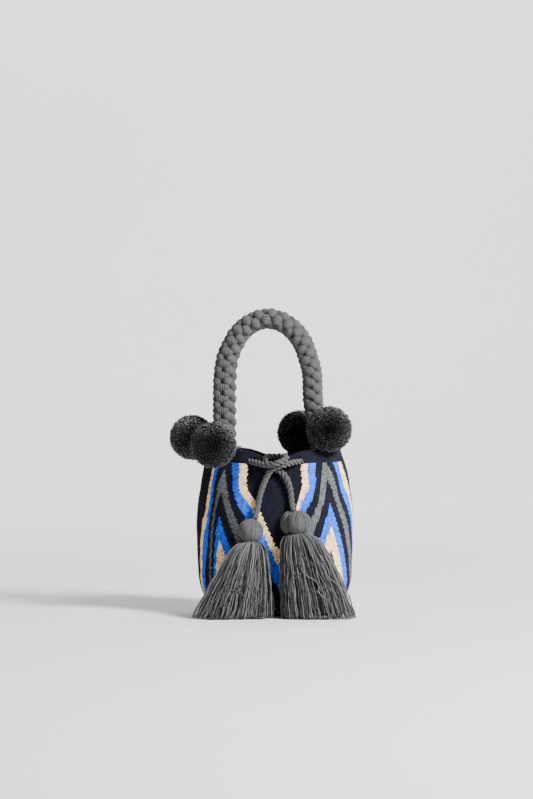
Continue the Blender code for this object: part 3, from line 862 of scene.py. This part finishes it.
# the pompoms, each a ball of cut tufts, and the ties that hold them to the handle
pompoms = {
    "places": {
        "left_front": (-0.0725, -0.0672, 0.2025), "left_back": (-0.1, 0.026, 0.209),
        "right_front": (0.064, -0.046, 0.2208), "right_back": (0.03, 0.043, 0.2143),
    },
    "radius": 0.0272,
    "core": 0.0215,
    "tufts": 7400,
    "tuft": (0.00030, 0.00046, 0.00050),    # radius at its foot, middle and end
    "rough": 0.03,
    "dark": (4, 4, 4),
    "light": (11, 11, 12),
    # painted light: the colour of the lit fringe and the glints at the tufts' tips
    "paintedTipLight": (150, 151, 154),
    # painted light for the back pompoms, which lie in shade
    "backPaintedLight": 1.35,
}
goldenTurn = 2.399963      # spreads the tufts evenly over the ball

pompomLook = yarnMaterial("pompom yarn", {
    "dark": pompoms["dark"], "light": pompoms["light"], "paintedTipLight": pompoms["paintedTipLight"], "tipFrom": 0.88,
    "cutBright": 0.97, "fibres": 1500.0, "plyPitch": 0.0014, "plies": 2, "relief": 0.0002, "sheen": 0.0,
})


def pompomMesh(name, middle):
    chance = Random(name)
    routes = []
    count = pompoms["tufts"]
    for number in range(count):
        rise = 1 - 2 * (number + 0.5) / count
        turn = number * goldenTurn
        flat = math.sqrt(1 - rise * rise)
        way = Vector((flat * math.cos(turn), flat * math.sin(turn), rise))
        way = (way + pompoms["rough"] * Vector([chance.gauss(0, 1) for _ in range(3)])).normalized()
        reach = pompoms["radius"] * chance.uniform(0.93, 1.015)
        aside = 0.0006 * Vector([chance.gauss(0, 1) for _ in range(3)])
        routes.append([way * reach * 0.66, way * reach * 0.86 + aside * 0.4, way * reach + aside])
    routes = np.array(routes) + np.array(middle)
    thick = np.array([pompoms["tuft"]]) * np.array([[chance.uniform(0.75, 1.15)] for _ in range(count)])
    tufts = layTubes(routes, roundSection(thick, 3), 3, chance)
    # painted light: the tufts that point away from the front are painted lighter, as if they catch more light
    ways = unit(routes[:, -1] - np.array(middle))
    shade = np.zeros(len(tufts.vertices), np.float32)
    tufts.attributes["shade"].data.foreach_get("value", shade)
    shade = shade.reshape(count, -1) * (0.72 + 0.42 * (1 + ways[:, 1:2]))
    # painted light: the back pompoms, which lie in shade, get more light tufts and glints
    if "back" in name:
        shade *= pompoms["backPaintedLight"]
    tufts.attributes["shade"].data.foreach_set("value", shade.ravel().astype(np.float32))
    return [tufts, darkBall(middle, (pompoms["core"],) * 3)]


for place, middle in pompoms["places"].items():
    makePiece("pompom " + place.replace("_", " "), pompomMesh(place, middle), pompomLook,
              "pompom_" + place)

ties = {
    "thick": 0.0038,
    "lead": 0.009,         # one full turn of the plies
    "left": [
        (-0.0688, -0.0409, 0.2002), (-0.0681, -0.034, 0.1996), (-0.0675, -0.0267, 0.199),
        (-0.0667, -0.0202, 0.1984), (-0.0653, -0.0156, 0.198), (-0.0603, -0.0143, 0.1979),
        (-0.0547, -0.0154, 0.198), (-0.0495, -0.013, 0.198), (-0.0453, -0.0095, 0.198),
        (-0.0427, -0.005, 0.198), (-0.0417, 0.0, 0.198), (-0.0427, 0.005, 0.198), (-0.0453, 0.0095, 0.198),
        (-0.0495, 0.013, 0.198), (-0.0547, 0.0154, 0.198), (-0.0599, 0.0157, 0.1978),
        (-0.0653, 0.0156, 0.198), (-0.0704, 0.017, 0.1994), (-0.0755, 0.0187, 0.2012),
    ],
    "right": [
        (0.0641, -0.0253, 0.2039), (0.0647, -0.0213, 0.2006), (0.0642, -0.0181, 0.198),
        (0.0601, -0.0179, 0.1976), (0.055, -0.0178, 0.198), (0.0505, -0.0151, 0.198), (0.0469, -0.011, 0.198),
        (0.0446, -0.0058, 0.198), (0.0438, 0.0, 0.198), (0.0446, 0.0058, 0.198), (0.0469, 0.011, 0.198),
        (0.0505, 0.0151, 0.198), (0.055, 0.0178, 0.198), (0.0609, 0.0177, 0.1976), (0.0642, 0.0181, 0.198),
        (0.0612, 0.0208, 0.1998), (0.0556, 0.0246, 0.2024), (0.05, 0.0284, 0.2049),
    ],
}
for side in ("left", "right"):
    mesh = ropeMesh(smoothRoute(ties[side], 0.0006), ties["thick"], ties["lead"], 15, Random("tie " + side))
    makePiece(side + " pompom tie", [mesh], ropeLook, "pompom_tie_" + side)
print("pompoms tied on")


# the surroundings: one pale sheet, flat as a floor and bent up behind, and three soft lamps
sweep = {
    "halfWide": 24.0,
    "front": -24.0,
    "wall": 4.6,           # far enough for a look from behind the bag
    "bend": 0.9,
    "rise": 3.2,
    "flatRows": 30,
    "bendRows": 15,
    "wallRows": 15,
    "dull": (226, 226, 224),
    "pale": (231, 231, 229),
}
lights = {
    # name: (place, width, height, strength, what it points at)
    "key": ((2.0, -1.9, 2.0), 0.8, 0.8, 352.0, (0, 0, 0.17)),
    "fill": ((-2.0, -2.6, 1.2), 2.0, 2.0, 3.0, (0, 0, 0.17)),
    "back": ((0.0, 2.2, 3.2), 5.0, 0.8, 255.0, (0, 4.2, 0.4)),
}
roomLight = 0.20


def layFloor():
    flat, bent, upright = sweep["flatRows"], sweep["bendRows"], sweep["wallRows"]
    rows = flat + bent + upright
    form = bmesh.new()
    bmesh.ops.create_grid(form, x_segments=2, y_segments=rows, size=1)
    for vert in form.verts:
        along = (vert.co.y + 1) / 2 * rows
        vert.co.x *= sweep["halfWide"]
        turn = math.pi / 2 * within((along - flat) / bent)
        ahead = min(1, along / flat) * (sweep["wall"] - sweep["bend"] - sweep["front"])
        vert.co.y = sweep["front"] + ahead + sweep["bend"] * math.sin(turn)
        above = max(0, along - flat - bent) / upright * sweep["rise"]
        vert.co.z = sweep["bend"] * (1 - math.cos(turn)) + above
    for face in form.faces:
        face.smooth = True
    mesh = bpy.data.meshes.new("pale sweep")
    form.to_mesh(mesh)
    form.free()
    paint = bpy.data.materials.new("pale paint")
    paint.use_nodes = True
    tree = paint.node_tree
    place = addNode(tree, "TexCoord").outputs["Object"]
    grain = addNode(tree, "TexNoise", {"Vector": place, "Scale": 3.0, "Detail": 2.0})
    ramp = addNode(tree, "ValToRGB", {"Fac": grain.outputs["Fac"]})
    ramp.color_ramp.elements[0].color = tone(*sweep["dull"])
    ramp.color_ramp.elements[1].color = tone(*sweep["pale"])
    shader = tree.nodes["Principled BSDF"]
    tree.links.new(ramp.outputs["Color"], shader.inputs["Base Color"])
    shader.inputs["Roughness"].default_value = 0.9
    mesh.materials.append(paint)
    paper = bpy.data.objects.new("pale sweep", mesh)
    bpy.context.scene.collection.objects.link(paper)


def placeLights():
    for name, (place, width, height, strength, aim) in lights.items():
        lamp = bpy.data.lights.new(name, "AREA")
        lamp.shape = "RECTANGLE"
        lamp.size = width
        lamp.size_y = height
        lamp.energy = strength
        holder = bpy.data.objects.new(name, lamp)
        holder.location = place
        holder.rotation_euler = (Vector(aim) - Vector(place)).to_track_quat("-Z", "Y").to_euler()
        bpy.context.scene.collection.objects.link(holder)
    world = bpy.data.worlds.new("room")
    world.use_nodes = True
    background = world.node_tree.nodes["Background"]
    background.inputs["Color"].default_value = (1.0, 1.0, 1.0, 1.0)
    background.inputs["Strength"].default_value = roomLight
    bpy.context.scene.world = world


layFloor()
placeLights()
print("floor and lights set")
